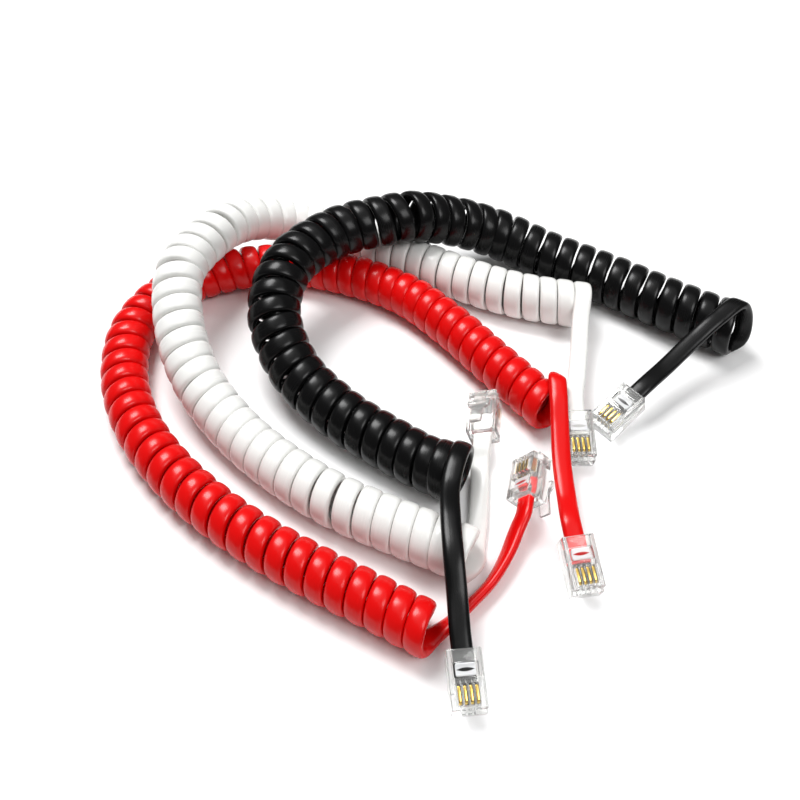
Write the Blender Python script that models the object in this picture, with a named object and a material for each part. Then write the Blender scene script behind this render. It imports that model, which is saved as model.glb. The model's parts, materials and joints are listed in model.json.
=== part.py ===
"""A set of three coiled telephone handset cords, red, white and black.

Each cord is a flat four-wire lead wound into a coil, with a straight stretch
and a clear four-contact modular plug at both ends.  The three cords lie on a
table in nested open loops: the red one on the table, the white one over it
and the black one over both, so that they lift off in that order from the top.

Lengths are in metres, +Z is up and the table is at Z = 0.  The origin is in
the middle of the set's outline, on the table.
"""
import math

import bpy
import bmesh
import numpy as np
from mathutils import Matrix, Vector

MM = 0.001

# --- the flat cord and its coils ---
CORD_WIDTH = 4.8 * MM
CORD_THICKNESS = 2.5 * MM
RED_COIL_DIAMETER = 12.8 * MM
WHITE_COIL_DIAMETER = 13.6 * MM
BLACK_COIL_DIAMETER_FRONT = 14.4 * MM
BLACK_COIL_DIAMETER_BACK = 15.6 * MM
COIL_SPACING = 6.0 * MM      # distance between the points of a coil's tube
LEAD_SPACING = 4.0 * MM      # distance between the points of a lead's tube
LOOSE_TURN = 3.0 * MM        # how far the black coil's last turn stands off at the back
CROSSING_GAP = 0.8 * MM      # slack under a coil where it climbs over another

# --- the modular plug, in its own frame: +Y to the nose, +Z the contact face ---
PLUG_WIDTH = 7.65 * MM
PLUG_HEIGHT = 6.6 * MM
PLUG_LENGTH = 13.3 * MM
NOSE_LEDGE = 1.0 * MM        # how far the lower half of the nose stands out
NOSE_LEDGE_TOP = 1.2 * MM    # height of the ledge's top over the plug's middle
CORD_HEIGHT_IN_PLUG = 0.1 * MM
POCKET_DEPTH = 7.0 * MM
JACKET_DEPTH = 6.2 * MM      # how far the cord's jacket goes in
TUNNEL_END = 11.6 * MM
WINDOW_START = 2.7 * MM
WINDOW_LENGTH = 3.1 * MM
WINDOW_WIDTH = 5.6 * MM
BAR_RECESS = 0.5 * MM        # the pressed bar sits this far below the face
CONTACT_PITCH = 1.27 * MM
CONTACT_COUNT = 4
CONTACT_THICKNESS = 0.35 * MM
CONTACT_START = 8.7 * MM
CONTACT_RECESS = 0.5 * MM    # the blades' tops lie this far below the face
CONDUCTOR_DIAMETER = 1.0 * MM
LATCH_WIDTH = 3.2 * MM
LATCH_SHOULDER_WIDTH = 6.0 * MM
LATCH_THICKNESS = 0.9 * MM
LATCH_ANGLE = 13.0           # degrees that the lever stands off at rest
LATCH_OVERHANG = 0.6 * MM    # how far the finger end reaches behind the body

# --- fits ---
CLEARANCE = 0.3 * MM         # gap between any two touching pieces
TABLE_SLACK = 0.1 * MM       # a lead's lowest edge is held this far off the table

# --- the lay: sizes that the routes below are drawn for, in mm.  When one of the
#     pieces is made bigger than this, all the routes open out in proportion ---
DRAWN_FOR = [
    (RED_COIL_DIAMETER, 12.8), (WHITE_COIL_DIAMETER, 13.6), (BLACK_COIL_DIAMETER_FRONT, 14.4),
    (BLACK_COIL_DIAMETER_BACK, 15.6), (CORD_WIDTH, 4.8), (PLUG_WIDTH, 7.65), (PLUG_LENGTH, 13.3)]
LAY_UNIT = max(size / drawn for size, drawn in DRAWN_FOR)   # 1 mm at those sizes

# --- routes of the coils' middle lines: x, y in lay units, share of the full climb ---
RED_COIL = [
    (2, -65.1, 0), (-10.8, -57.8, 0), (-22.8, -51.3, 0), (-35.8, -43.8, 0), (-50.8, -33.3, 0),
    (-64.8, -20.3, 0), (-75.8, -5.3, 0), (-82.3, 11.7, 0), (-82.8, 29.7, 0), (-74.3, 45.2, 0),
    (-57.8, 54.2, 0), (-39.8, 56.2, 0), (-21.8, 51.7, 0), (-5.3, 43.2, 0), (7.7, 30.2, 0),
    (19.2, 15.7, 0), (33.7, -2.3, 0)]
WHITE_COIL = [
    (14, -47.5, 0), (2.2, -41.8, 0), (-7.8, -37.3, 0), (-23.8, -29.3, 0), (-38.3, -18.8, 0),
    (-51.3, -5.8, 0), (-61.8, 8.7, 0.05), (-67.3, 22.2, 0.8), (-68.3, 38.7, 1), (-61.3, 55.2, 1),
    (-51.3, 69.7, 0.5), (-38.3, 76.2, 0), (-22.3, 68.7, 0), (-6.3, 60.2, 0), (9.2, 51.2, 0),
    (25.7, 43.4, 0), (48.7, 37.7, 0)]
BLACK_COIL = [
    (8.7, -21.8, 0), (-0.8, -17.8, 0), (-9.3, -12.8, 0), (-23.8, -1.8, 0), (-35.8, 12.2, 0.05),
    (-41.3, 24.7, 0.75), (-37.3, 40.2, 1), (-24.8, 53.2, 1), (-7.8, 59.5, 1), (6.7, 64.6, 0.75),
    (22.7, 67.2, 0.12), (38.7, 58.7, 0), (54.2, 49.2, 0), (69.7, 39.2, 0), (91.2, 27.2, 0)]

# --- routes of the leads: x, y in lay units, share of the way down to the plug's entry ---
RED_FRONT_LEAD = [
    (-0.1, -64.1, 0), (4.8, -60.1, 0), (10.6, -55.7, 0), (15.5, -50.3, 0), (19, -43.8, 0.1),
    (21.6, -37.3, 0.4)]
RED_BACK_LEAD = [(32.1, 0.8, 0), (32.1, -9.3, 0.3), (32.5, -19.3, 0.6), (33.4, -29.3, 0.85)]
WHITE_FRONT_LEAD = [
    (12.1, -46.1, 0), (13.7, -40.8, 0), (13.2, -32.3, 0), (13.2, -22.3, 0.1), (14, -14.3, 0.5)]
WHITE_BACK_LEAD = [(46.2, 38.5, 0), (45.7, 29.7, 0.4), (44.2, 20.7, 0.8), (41.7, 9.7, 1)]
BLACK_FRONT_LEAD = [
    (5.9, -21.3, 0), (5.2, -30.3, -0.25), (5.4, -40.3, -0.42), (5.7, -49.3, -0.32), (6.1, -58.3, 0.45)]
BLACK_BACK_LEAD = [(88.5, 28.4, 0), (84.9, 24.9, 0.1), (76.8, 21.9, 0.3), (65.7, 13.2, 0.65)]

# --- places of the plugs: x, y of the cord's entry in lay units, heading of the nose
#     clockwise from +Y and roll about the nose's direction, both in degrees ---
RED_FRONT_PLUG = (24, -29.8, 12, -50)
RED_BACK_PLUG = (34.1, -41.3, 171, 0)
WHITE_FRONT_PLUG = (14.8, -8.6, 7, 160)
WHITE_BACK_PLUG = (39.1, -3.8, 179, 0)
BLACK_FRONT_PLUG = (6.5, -68.9, 174.5, 0)
BLACK_BACK_PLUG = (55.6, 2.6, -130, 0)


# --- materials ---
def make_material(name, colour, roughness, metallic=0.0, transmission=0.0):
    """A plain finish from a colour, a roughness and a metallic value."""
    material = bpy.data.materials.new(name)
    material.use_nodes = True
    shader = material.node_tree.nodes["Principled BSDF"]
    shader.inputs["Base Color"].default_value = (*colour, 1.0)
    shader.inputs["Roughness"].default_value = roughness
    shader.inputs["Metallic"].default_value = metallic
    shader.inputs["Transmission Weight"].default_value = transmission
    return material


# --- small helpers for placing and building ---
def new_object(name, data, material, matrix=None):
    """Put a mesh or a curve in the scene under a name, at a place."""
    obj = bpy.data.objects.new(name, data)
    obj.data.materials.clear()
    obj.data.materials.append(material)
    bpy.context.collection.objects.link(obj)
    if matrix is not None:
        obj.matrix_world = matrix
    return obj


def smooth_curve(points, spacing, start_direction=None, end_direction=None):
    """Points an even distance apart on one smooth curve through the given ones.

    The height never swings past the heights of the given points.
    """
    points = np.array(points, dtype=float)
    knots = np.concatenate([[0.0], np.cumsum(np.linalg.norm(np.diff(points, axis=0), axis=1))])
    slopes = np.gradient(points, knots, axis=0)
    steps = np.diff(points[:, 2])
    level = np.concatenate([[True], steps[:-1] * steps[1:] <= 0.0, [True]])
    slopes[level, 2] = 0.0
    limit = np.abs(steps / np.diff(knots)) * 3.0
    limit = np.minimum(np.append(limit, limit[-1]), np.insert(limit, 0, limit[0]))
    slopes[:, 2] = np.clip(slopes[:, 2], -limit, limit)
    if start_direction is not None:
        slopes[0] = start_direction
    if end_direction is not None:
        slopes[-1] = end_direction
    fine = np.linspace(0.0, knots[-1], 40 * len(points))
    index = np.clip(np.searchsorted(knots, fine, side="right") - 1, 0, len(points) - 2)
    span = (knots[index + 1] - knots[index])[:, None]
    t = ((fine - knots[index])[:, None]) / span
    curve = ((2 * t**3 - 3 * t**2 + 1) * points[index] + (t**3 - 2 * t**2 + t) * span * slopes[index]
             + (3 * t**2 - 2 * t**3) * points[index + 1] + (t**3 - t**2) * span * slopes[index + 1])
    run = np.concatenate([[0.0], np.cumsum(np.linalg.norm(np.diff(curve, axis=0), axis=1))])
    stops = np.linspace(0.0, run[-1], max(2, round(run[-1] / spacing) + 1))
    return np.column_stack([np.interp(stops, run, curve[:, axis]) for axis in range(3)])


def box(low, high):
    """A bmesh cuboid between two corners, sizes in metres."""
    mesh = bmesh.new()
    middle = (Vector(low) + Vector(high)) / 2
    size = Vector(high) - Vector(low)
    place = Matrix.Translation(middle) @ Matrix.Diagonal((*size, 1.0))
    bmesh.ops.create_cube(mesh, size=1.0, matrix=place)
    return mesh


def prism(outline, thickness, axis):
    """A bmesh solid from a closed outline of (u, v) points, centred on the axis.

    For axis X the outline is (y, z), for axis Y it is (x, z), for Z (x, y).
    """
    places = {"X": lambda u, v, w: (w, u, v), "Y": lambda u, v, w: (u, w, v),
              "Z": lambda u, v, w: (u, v, w)}
    place = places[axis]
    mesh = bmesh.new()
    ring = [mesh.verts.new(place(u, v, -thickness / 2)) for u, v in outline]
    face = mesh.faces.new(ring)
    sweep = bmesh.ops.extrude_face_region(mesh, geom=[face])
    moved = [item for item in sweep["geom"] if isinstance(item, bmesh.types.BMVert)]
    bmesh.ops.translate(mesh, verts=moved, vec=Vector(place(0, 0, thickness)))
    bmesh.ops.recalc_face_normals(mesh, faces=mesh.faces)
    return mesh


def to_mesh(name, bm):
    """Hand a bmesh over to a mesh data block."""
    data = bpy.data.meshes.new(name)
    bm.to_mesh(data)
    bm.free()
    return data


def join_boxes(boxes):
    """One bmesh that holds several separate cuboids, as a cutter."""
    whole = bmesh.new()
    for low, high in boxes:
        part = box(low, high)
        data = to_mesh("cut", part)
        whole.from_mesh(data)
        bpy.data.meshes.remove(data)
    return whole


# --- the plug's shapes, worked out from its sizes ---
def pocket_half_height():
    """Half the height of the pocket that the jacket lies in."""
    return CORD_THICKNESS / 2 + CLEARANCE


def conductor_ribbon_width():
    """Width of the four conductors side by side."""
    return CONTACT_PITCH * (CONTACT_COUNT - 1) + CONDUCTOR_DIAMETER


def contact_places():
    """Sideways places of the contacts, symmetric about the middle."""
    return [(index - (CONTACT_COUNT - 1) / 2) * CONTACT_PITCH for index in range(CONTACT_COUNT)]


def conductor_height():
    """The conductors run along the middle of the jacket."""
    return CORD_HEIGHT_IN_PLUG


def latch_hinge():
    """The lever's living hinge, under the nose end of the body."""
    upper_block_end = PLUG_LENGTH - NOSE_LEDGE
    return Vector((0.0, upper_block_end, -PLUG_HEIGHT / 2 - CLEARANCE - LATCH_THICKNESS / 2))


def latch_length():
    """The lever runs from its hinge to just behind the body."""
    return latch_hinge().y + LATCH_OVERHANG


def plug_body_mesh():
    """The clear housing: a block with a nose ledge, hollowed from the rear and the top."""
    half = PLUG_WIDTH / 2
    bottom = -PLUG_HEIGHT / 2
    top = PLUG_HEIGHT / 2
    step = PLUG_LENGTH - NOSE_LEDGE
    outline = [(0.0, bottom), (PLUG_LENGTH, bottom), (PLUG_LENGTH, NOSE_LEDGE_TOP),
               (step, NOSE_LEDGE_TOP), (step, top), (0.0, top)]
    plain = bpy.data.materials.new("scratch")
    block = new_object("block", to_mesh("block", prism(outline, PLUG_WIDTH, "X")), plain)
    pocket_half_width = CORD_WIDTH / 2 + CLEARANCE
    tunnel_half_width = conductor_ribbon_width() / 2 + CLEARANCE
    tunnel_half_height = CONDUCTOR_DIAMETER / 2 + CLEARANCE
    middle = CORD_HEIGHT_IN_PLUG
    slot_half = CONTACT_THICKNESS / 2 + CLEARANCE
    over = half                        # how far a cutter runs past a face
    cuts = [
        [((-pocket_half_width, -over, middle - pocket_half_height()),
          (pocket_half_width, POCKET_DEPTH, middle + pocket_half_height()))],
        [((-tunnel_half_width, 0.0, middle - tunnel_half_height),
          (tunnel_half_width, TUNNEL_END, middle + tunnel_half_height))],
        [((-WINDOW_WIDTH / 2, WINDOW_START, middle),
          (WINDOW_WIDTH / 2, WINDOW_START + WINDOW_LENGTH, top + over))],
        [((x - slot_half, CONTACT_START - CLEARANCE, middle + tunnel_half_height / 2),
          (x + slot_half, TUNNEL_END, top + over)) for x in contact_places()],
    ]
    cutters = []
    for index, boxes in enumerate(cuts):
        cutter = new_object(f"cutter_{index}", to_mesh("cutter", join_boxes(boxes)), plain)
        cutter.hide_render = True
        cutter.display_type = "WIRE"
        cutters.append(cutter)
        boolean = block.modifiers.new(f"cut_{index}", "BOOLEAN")
        boolean.operation = "DIFFERENCE"
        boolean.solver = "EXACT"
        boolean.object = cutter
    bpy.context.view_layer.update()
    finished = block.evaluated_get(bpy.context.evaluated_depsgraph_get())
    mesh = bpy.data.meshes.new_from_object(finished)
    mesh.name = "plug_body"
    for helper in [block, *cutters]:
        bpy.data.objects.remove(helper)
    bpy.data.materials.remove(plain)
    return mesh


def contact_mesh():
    """A gold blade: a flat plate with its front top corner rounded off."""
    bottom = conductor_height() + CONDUCTOR_DIAMETER / 2 + CLEARANCE
    top = PLUG_HEIGHT / 2 - CONTACT_RECESS
    front = TUNNEL_END - CLEARANCE
    radius = (top - bottom) / 2
    corner = [(front - radius + radius * math.sin(math.radians(angle)),
               top - radius + radius * math.cos(math.radians(angle))) for angle in (0, 30, 60, 90)]
    outline = [(CONTACT_START, bottom), (front, bottom), *reversed(corner), (CONTACT_START, top)]
    return to_mesh("contact", prism(outline, CONTACT_THICKNESS, "X"))


def bar_mesh():
    """The strain relief bar that is pressed onto the jacket, with a blunt wedge below."""
    low = CORD_HEIGHT_IN_PLUG + CORD_THICKNESS / 2 + CLEARANCE
    high = PLUG_HEIGHT / 2 - BAR_RECESS
    start = WINDOW_START + CLEARANCE
    end = WINDOW_START + WINDOW_LENGTH - CLEARANCE
    chamfer = (end - start) / 4
    outline = [(start, low + chamfer), (start + chamfer, low), (end - chamfer, low),
               (end, low + chamfer), (end, high), (start, high)]
    return to_mesh("bar", prism(outline, WINDOW_WIDTH - 2 * CLEARANCE, "X"))


def conductors_mesh():
    """Four insulated wires side by side, joined into one ribbon by thin webs."""
    radius = CONDUCTOR_DIAMETER / 2
    web = radius / 2
    lobes = contact_places()
    upper = []
    for x in lobes:
        for angle in (150, 110, 70, 30):
            upper.append((x + radius * math.cos(math.radians(angle)),
                          radius * math.sin(math.radians(angle))))
    left_end = (lobes[0] - radius, 0.0)
    right_end = (lobes[-1] + radius, 0.0)
    lower = [(x, -z) for x, z in reversed(upper)]
    outline = [left_end, *upper, right_end, *lower]
    outline = [(x, z if abs(z) > web or x in (left_end[0], right_end[0]) else math.copysign(web, z))
               for x, z in outline]
    start = JACKET_DEPTH + CLEARANCE
    end = TUNNEL_END - CLEARANCE
    ribbon = prism(outline, end - start, "Y")
    bmesh.ops.translate(ribbon, verts=ribbon.verts,
                        vec=(0.0, (start + end) / 2, conductor_height()))
    return to_mesh("conductors", ribbon)


def latch_mesh():
    """The latch lever about its hinge: a tongue with wide shoulders, sloping down to the rear."""
    half = LATCH_WIDTH / 2
    shoulder = LATCH_SHOULDER_WIDTH / 2
    length = latch_length()
    catch = length * 0.32
    catch_end = length * 0.48
    right = [(half, 0.0), (half, -catch), (shoulder, -catch), (shoulder, -catch_end),
             (half, -catch_end - (shoulder - half)), (half, -length)]
    outline = right + [(-x, y) for x, y in reversed(right)]
    lever = prism(outline, LATCH_THICKNESS, "Z")
    turn = Matrix.Rotation(math.radians(LATCH_ANGLE), 3, "X")
    bmesh.ops.rotate(lever, cent=(0.0, 0.0, 0.0), matrix=turn, verts=lever.verts)
    return to_mesh("latch", lever)


def plug_matrix(place):
    """Where a plug lies: turned to its heading, then lowered until it touches the table."""
    x, y, heading, roll = place
    length = latch_length()
    drop = length * math.sin(math.radians(LATCH_ANGLE)) + LATCH_THICKNESS / 2
    reach = PLUG_LENGTH - latch_hinge().y + length * math.cos(math.radians(LATCH_ANGLE))
    tip_drop = drop + CLEARANCE + LATCH_THICKNESS / 2
    pitch = math.atan2(tip_drop, reach) if roll == 0 else 0.0
    turned = (Matrix.Rotation(math.radians(-heading), 4, "Z")
              @ Matrix.Rotation(-pitch, 4, "X") @ Matrix.Rotation(math.radians(roll), 4, "Y"))
    corners = [Vector((side * PLUG_WIDTH / 2, along, up * PLUG_HEIGHT / 2))
               for side in (-1, 1) for along in (0.0, PLUG_LENGTH) for up in (-1, 1)]
    lever = to_mesh("measure", latch_bmesh_points())
    corners += [latch_hinge() + vertex.co for vertex in lever.vertices]
    bpy.data.meshes.remove(lever)
    lowest = min((turned @ corner).z for corner in corners)
    return Matrix.Translation((x * LAY_UNIT, y * LAY_UNIT, -lowest)) @ turned


def latch_bmesh_points():
    """The lever's corners, for finding the lowest point of a plug."""
    data = latch_mesh()
    points = bmesh.new()
    points.from_mesh(data)
    bpy.data.meshes.remove(data)
    return points


# --- cords ---
def coil_tube(name, route, material, diameters, climb, end_turns):
    """The outer shape of a coil: a fat tube along its middle line.

    end_turns is the room left at the front and at the back for the last turns,
    which run out into the leads.
    """
    front, back = diameters
    count = len(route)
    line = []
    for index, (x, y, share) in enumerate(route):
        diameter = front + (back - front) * index / (count - 1)
        line.append((x * LAY_UNIT, y * LAY_UNIT, diameter / 2 + share * climb))
    points = smooth_curve(line, COIL_SPACING / 4)
    run = np.concatenate([[0.0], np.cumsum(np.linalg.norm(np.diff(points, axis=0), axis=1))])
    stops = np.linspace(end_turns[0], run[-1] - end_turns[1], round(run[-1] / COIL_SPACING))
    points = np.column_stack([np.interp(stops, run, points[:, axis]) for axis in range(3)])
    curve = bpy.data.curves.new(name, "CURVE")
    curve.dimensions = "3D"
    curve.bevel_depth = front / 2
    curve.bevel_resolution = 3
    curve.use_fill_caps = True
    spline = curve.splines.new("POLY")
    spline.points.add(len(points) - 1)
    for point, place, stop in zip(spline.points, points, stops):
        point.co = (*place, 1.0)
        point.radius = 1.0 + (back / front - 1.0) * stop / run[-1]
    return new_object(name, curve, material)


def lead_tube(name, points, widths, material):
    """A flat lead: a curve with a wide bevel, its width turned along the given directions."""
    curve = bpy.data.curves.new(name, "CURVE")
    curve.dimensions = "3D"
    curve.twist_mode = "Z_UP"
    curve.bevel_depth = CORD_THICKNESS / 2
    curve.extrude = (CORD_WIDTH - CORD_THICKNESS) / 2
    curve.bevel_resolution = 2
    curve.use_fill_caps = True
    spline = curve.splines.new("POLY")
    spline.points.add(len(points) - 1)
    tangents = np.gradient(points, axis=0)
    for point, place, tangent, width in zip(spline.points, points, tangents, widths):
        along = Vector(tangent).normalized()
        side = along.cross(Vector((0.0, 0.0, 1.0))).normalized()
        upright = side.cross(along)
        point.co = (*place, 1.0)
        point.tilt = math.atan2(Vector(width).dot(side), Vector(width).dot(upright))
    return new_object(name, curve, material)


def lead(name, route, leaves_high, coil_diameter, coil_axis, plug, material):
    """A lead from the last turn of its coil to the inside of its plug.

    coil_axis is the direction of the coil there, along which the cord's width lies.
    """
    entry = plug @ Vector((0.0, 0.0, CORD_HEIGHT_IN_PLUG))
    along = (plug.to_3x3() @ Vector((0.0, 1.0, 0.0))).normalized()
    across = (plug.to_3x3() @ Vector((1.0, 0.0, 0.0))).normalized()
    start = coil_diameter - CORD_THICKNESS / 2 if leaves_high else CORD_THICKNESS / 2
    line = [(x * LAY_UNIT, y * LAY_UNIT, start + share * (entry.z - start))
            for x, y, share in route]
    line.append(entry - along * CORD_THICKNESS)
    outer = smooth_curve(line, LEAD_SPACING, end_direction=along)
    inner = [entry, entry + along * JACKET_DEPTH / 2, entry + along * JACKET_DEPTH]
    points = np.vstack([outer, inner])
    first = Vector(coil_axis).normalized()
    if first.dot(across) < 0:
        across = -across
    shares = np.clip(np.arange(len(points)) / (len(outer) - 1), 0.0, 1.0)
    widths = [first.lerp(across, share).normalized() for share in shares]
    for point, width in zip(points, widths):
        lowest = CORD_THICKNESS / 2 + (CORD_WIDTH - CORD_THICKNESS) / 2 * abs(width.z)
        point[2] = max(point[2], lowest + TABLE_SLACK)
    return lead_tube(name, points, widths, material)


# --- assembly ---
def add_plug(prefix, place, meshes, materials):
    """All pieces of one plug, each in its own object, in the plug's place."""
    matrix = plug_matrix(place)
    new_object(f"{prefix}_plug_body", meshes["body"].copy(), materials["clear"], matrix)
    new_object(f"{prefix}_strain_bar", meshes["bar"].copy(), materials["clear"], matrix)
    new_object(f"{prefix}_conductors", meshes["conductors"].copy(), materials["conductor"], matrix)
    for number, x in enumerate(contact_places(), start=1):
        blade = matrix @ Matrix.Translation((x, 0.0, 0.0))
        new_object(f"{prefix}_contact_{number}", meshes["contact"].copy(), materials["gold"], blade)
    hinge = matrix @ Matrix.Translation(latch_hinge())
    new_object(f"{prefix}_latch", meshes["latch"].copy(), materials["clear"], hinge)
    return matrix


def add_cord(colour, coil_route, diameters, climb, end_turns, ends, meshes, materials):
    """One cord: its coil, and at each end a lead and a plug."""
    jacket = materials[colour]
    coil_tube(f"{colour}_coil", coil_route, jacket, diameters, climb, end_turns)
    flat = [Vector((x, y, 0.0)) * LAY_UNIT for x, y, share in coil_route]
    axes = {"front": flat[0] - flat[1], "back": flat[-1] - flat[-2]}
    for end, diameter in zip(("front", "back"), diameters):
        lead_route, place, leaves_high = ends[end]
        matrix = add_plug(f"{colour}_{end}", place, meshes, materials)
        lead(f"{colour}_{end}_lead", lead_route, leaves_high, diameter, axes[end], matrix, jacket)


def main():
    """Clear the scene and build the three cords."""
    for obj in list(bpy.data.objects):
        bpy.data.objects.remove(obj)
    materials = {
        "red": make_material("red_pvc", (0.72, 0.01, 0.01), 0.25),
        "white": make_material("white_pvc", (0.85, 0.84, 0.80), 0.25),
        "black": make_material("black_pvc", (0.01, 0.01, 0.012), 0.22),
        "clear": make_material("clear_polycarbonate", (0.95, 0.96, 0.96), 0.05, 0.0, 1.0),
        "gold": make_material("gold_plate", (0.83, 0.62, 0.18), 0.2, 1.0),
        "conductor": make_material("conductor_sleeve", (0.25, 0.45, 0.20), 0.4),
    }
    meshes = {"body": plug_body_mesh(), "contact": contact_mesh(), "bar": bar_mesh(),
              "conductors": conductors_mesh(), "latch": latch_mesh()}
    turn = CORD_WIDTH + 2 * CLEARANCE
    over_red = RED_COIL_DIAMETER + CROSSING_GAP
    over_both = max(RED_COIL_DIAMETER, WHITE_COIL_DIAMETER) + CROSSING_GAP
    add_cord("red", RED_COIL, (RED_COIL_DIAMETER, RED_COIL_DIAMETER), 0.0, (turn, turn),
             {"front": (RED_FRONT_LEAD, RED_FRONT_PLUG, False),
              "back": (RED_BACK_LEAD, RED_BACK_PLUG, True)}, meshes, materials)
    add_cord("white", WHITE_COIL, (WHITE_COIL_DIAMETER, WHITE_COIL_DIAMETER), over_red, (turn, turn),
             {"front": (WHITE_FRONT_LEAD, WHITE_FRONT_PLUG, False),
              "back": (WHITE_BACK_LEAD, WHITE_BACK_PLUG, True)}, meshes, materials)
    add_cord("black", BLACK_COIL, (BLACK_COIL_DIAMETER_FRONT, BLACK_COIL_DIAMETER_BACK), over_both,
             (turn, turn + LOOSE_TURN),
             {"front": (BLACK_FRONT_LEAD, BLACK_FRONT_PLUG, True),
              "back": (BLACK_BACK_LEAD, BLACK_BACK_PLUG, True)}, meshes, materials)
    for mesh in meshes.values():
        bpy.data.meshes.remove(mesh)


main()
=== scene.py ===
# %% [markdown]
# # Three coiled telephone handset cords
# The set is a red, a white and a black curly cord, each with a clear modular plug at both ends.
# They lie nested on a table.  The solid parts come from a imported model; this lesson builds the
# fine surfaces around them, from the camera to the last gold contact.
#
# The model could be dressed by painting its plain solids, but a curly cord is all about the
# ribbon that winds round and round.  So every visible piece is worked out again as a surface.

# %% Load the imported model
import json
import math

import bmesh
import bpy
import numpy as np
from mathutils import Matrix, Vector


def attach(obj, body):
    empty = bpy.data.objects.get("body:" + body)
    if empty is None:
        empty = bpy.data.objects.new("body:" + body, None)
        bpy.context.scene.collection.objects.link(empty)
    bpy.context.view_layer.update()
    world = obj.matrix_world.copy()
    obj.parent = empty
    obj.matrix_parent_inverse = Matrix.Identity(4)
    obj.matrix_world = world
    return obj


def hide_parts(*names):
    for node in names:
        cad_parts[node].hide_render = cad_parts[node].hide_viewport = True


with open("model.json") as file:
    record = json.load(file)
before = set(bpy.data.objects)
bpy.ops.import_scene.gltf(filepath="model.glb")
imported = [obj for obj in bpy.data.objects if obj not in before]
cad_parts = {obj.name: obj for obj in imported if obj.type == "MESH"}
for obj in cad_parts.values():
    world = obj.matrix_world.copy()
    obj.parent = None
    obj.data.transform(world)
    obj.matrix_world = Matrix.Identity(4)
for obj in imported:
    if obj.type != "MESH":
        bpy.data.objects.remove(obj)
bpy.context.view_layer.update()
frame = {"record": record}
MM = 0.001

# %% [markdown]
# ## Camera
# A person looks at the cords on the table from half a metre or less, steeply down.
# A camera can be placed by hand and turned until it fits, or from three numbers: how high it
# is, how steeply it looks down and where its middle line meets the table.  The numbers are
# easier to change, so they are used here.

# %% Camera
CAMERA_HEIGHT = 187.5 * MM
CAMERA_DOWN = math.radians(50.0)
LOOK_AT = Vector((-6.8 * MM, 7.7 * MM, 0.0))
FOCAL_LENGTH = 39.78          # for a sensor 36 wide, both in mm


def make_camera():
    """Stand the camera back from its target by height over the tangent of its tilt."""
    data = bpy.data.cameras.new("camera")
    data.lens = FOCAL_LENGTH
    data.sensor_width = 36.0
    data.clip_start = 0.01
    camera = bpy.data.objects.new("camera", data)
    bpy.context.collection.objects.link(camera)
    back = CAMERA_HEIGHT / math.tan(CAMERA_DOWN)
    camera.location = LOOK_AT + Vector((0.0, -back, CAMERA_HEIGHT))
    camera.rotation_euler = (math.pi / 2 - CAMERA_DOWN, 0.0, 0.0)
    bpy.context.scene.camera = camera
    return camera


camera = make_camera()
print("camera at", [round(v, 4) for v in camera.location])

# %% [markdown]
# ## Table and light
# The cords lie on a plain white table in a bright studio.  Gloss needs something to reflect:
# a strong lamp behind and above gives each turn its small highlight, a weaker one fills the
# front, and a large one right above keeps the shadows soft.  A studio painted on a sphere round
# the scene could do the same, but lamps and a dim white surround are easier to move.

# %% Table and light
TABLE_SIZE = 3.0
LAMPS = {                      # metres and watts
    "key_light": {"place": (-0.20, 0.28, 0.62), "size": 0.30, "power": 4.9},
    "fill_light": {"place": (0.35, -0.30, 0.60), "size": 0.35, "power": 2.4},
    "top_light": {"place": (0.05, 0.05, 0.95), "size": 1.1, "power": 2.4}}
WORLD_STRENGTH = 0.15
WORLD_THROUGH_PLASTIC = 0.40  # added where light went through clear plastic, like white cards


def make_lamp(name, place, size, power):
    """A square lamp that looks at the middle of the set."""
    data = bpy.data.lights.new(name, "AREA")
    data.size = size
    data.energy = power
    lamp = bpy.data.objects.new(name, data)
    bpy.context.collection.objects.link(lamp)
    lamp.location = place
    lamp.rotation_euler = Vector(place).to_track_quat("Z", "Y").to_euler()
    return lamp


def make_table():
    """One flat square; its finish is a matt white with a hardly visible mottle."""
    half = TABLE_SIZE / 2
    mesh = bpy.data.meshes.new("table")
    corners = [(-half, -half, 0.0), (half, -half, 0.0), (half, half, 0.0), (-half, half, 0.0)]
    mesh.from_pydata(corners, [], [(0, 1, 2, 3)])
    table = bpy.data.objects.new("table", mesh)
    bpy.context.collection.objects.link(table)
    return table


def make_world():
    """A white surround: strength = plain + (through plastic) x (1 for rays that went through)."""
    world = bpy.data.worlds.new("studio")
    world.use_nodes = True
    tree = world.node_tree
    background = tree.nodes["Background"]
    background.inputs["Color"].default_value = (1.0, 1.0, 1.0, 1.0)
    strength = tree.nodes.new("ShaderNodeMath")
    strength.operation = "MULTIPLY_ADD"
    strength.inputs[1].default_value = WORLD_THROUGH_PLASTIC
    strength.inputs[2].default_value = WORLD_STRENGTH
    path = tree.nodes.new("ShaderNodeLightPath")
    tree.links.new(path.outputs["Is Transmission Ray"], strength.inputs[0])
    tree.links.new(strength.outputs[0], background.inputs["Strength"])
    return world


table = make_table()
for lamp_name, lamp in LAMPS.items():
    make_lamp(lamp_name, **lamp)
bpy.context.scene.world = make_world()
bpy.context.scene.view_settings.view_transform = "Standard"
print("table", TABLE_SIZE, "m square,", len(LAMPS), "lamps")

# %% [markdown]
# ## Helpers for surfaces
# Nearly everything here is a closed outline carried along a path: the cord, the plug and
# its latch.  Each ring of the surface is one copy of the outline.  Curve objects with a bevel
# could sweep an outline too, but they hide how it turns on the way, and in a flat cord that is
# what is seen.  So the points are computed as whole arrays and then handed to the mesh.

# %% Surface helpers
FINE_STEPS = 60                # for each given point, before a line is spaced evenly
STEEPEST = 3.0                 # times the chord's slope: a steeper cubic swings past its ends


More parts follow.
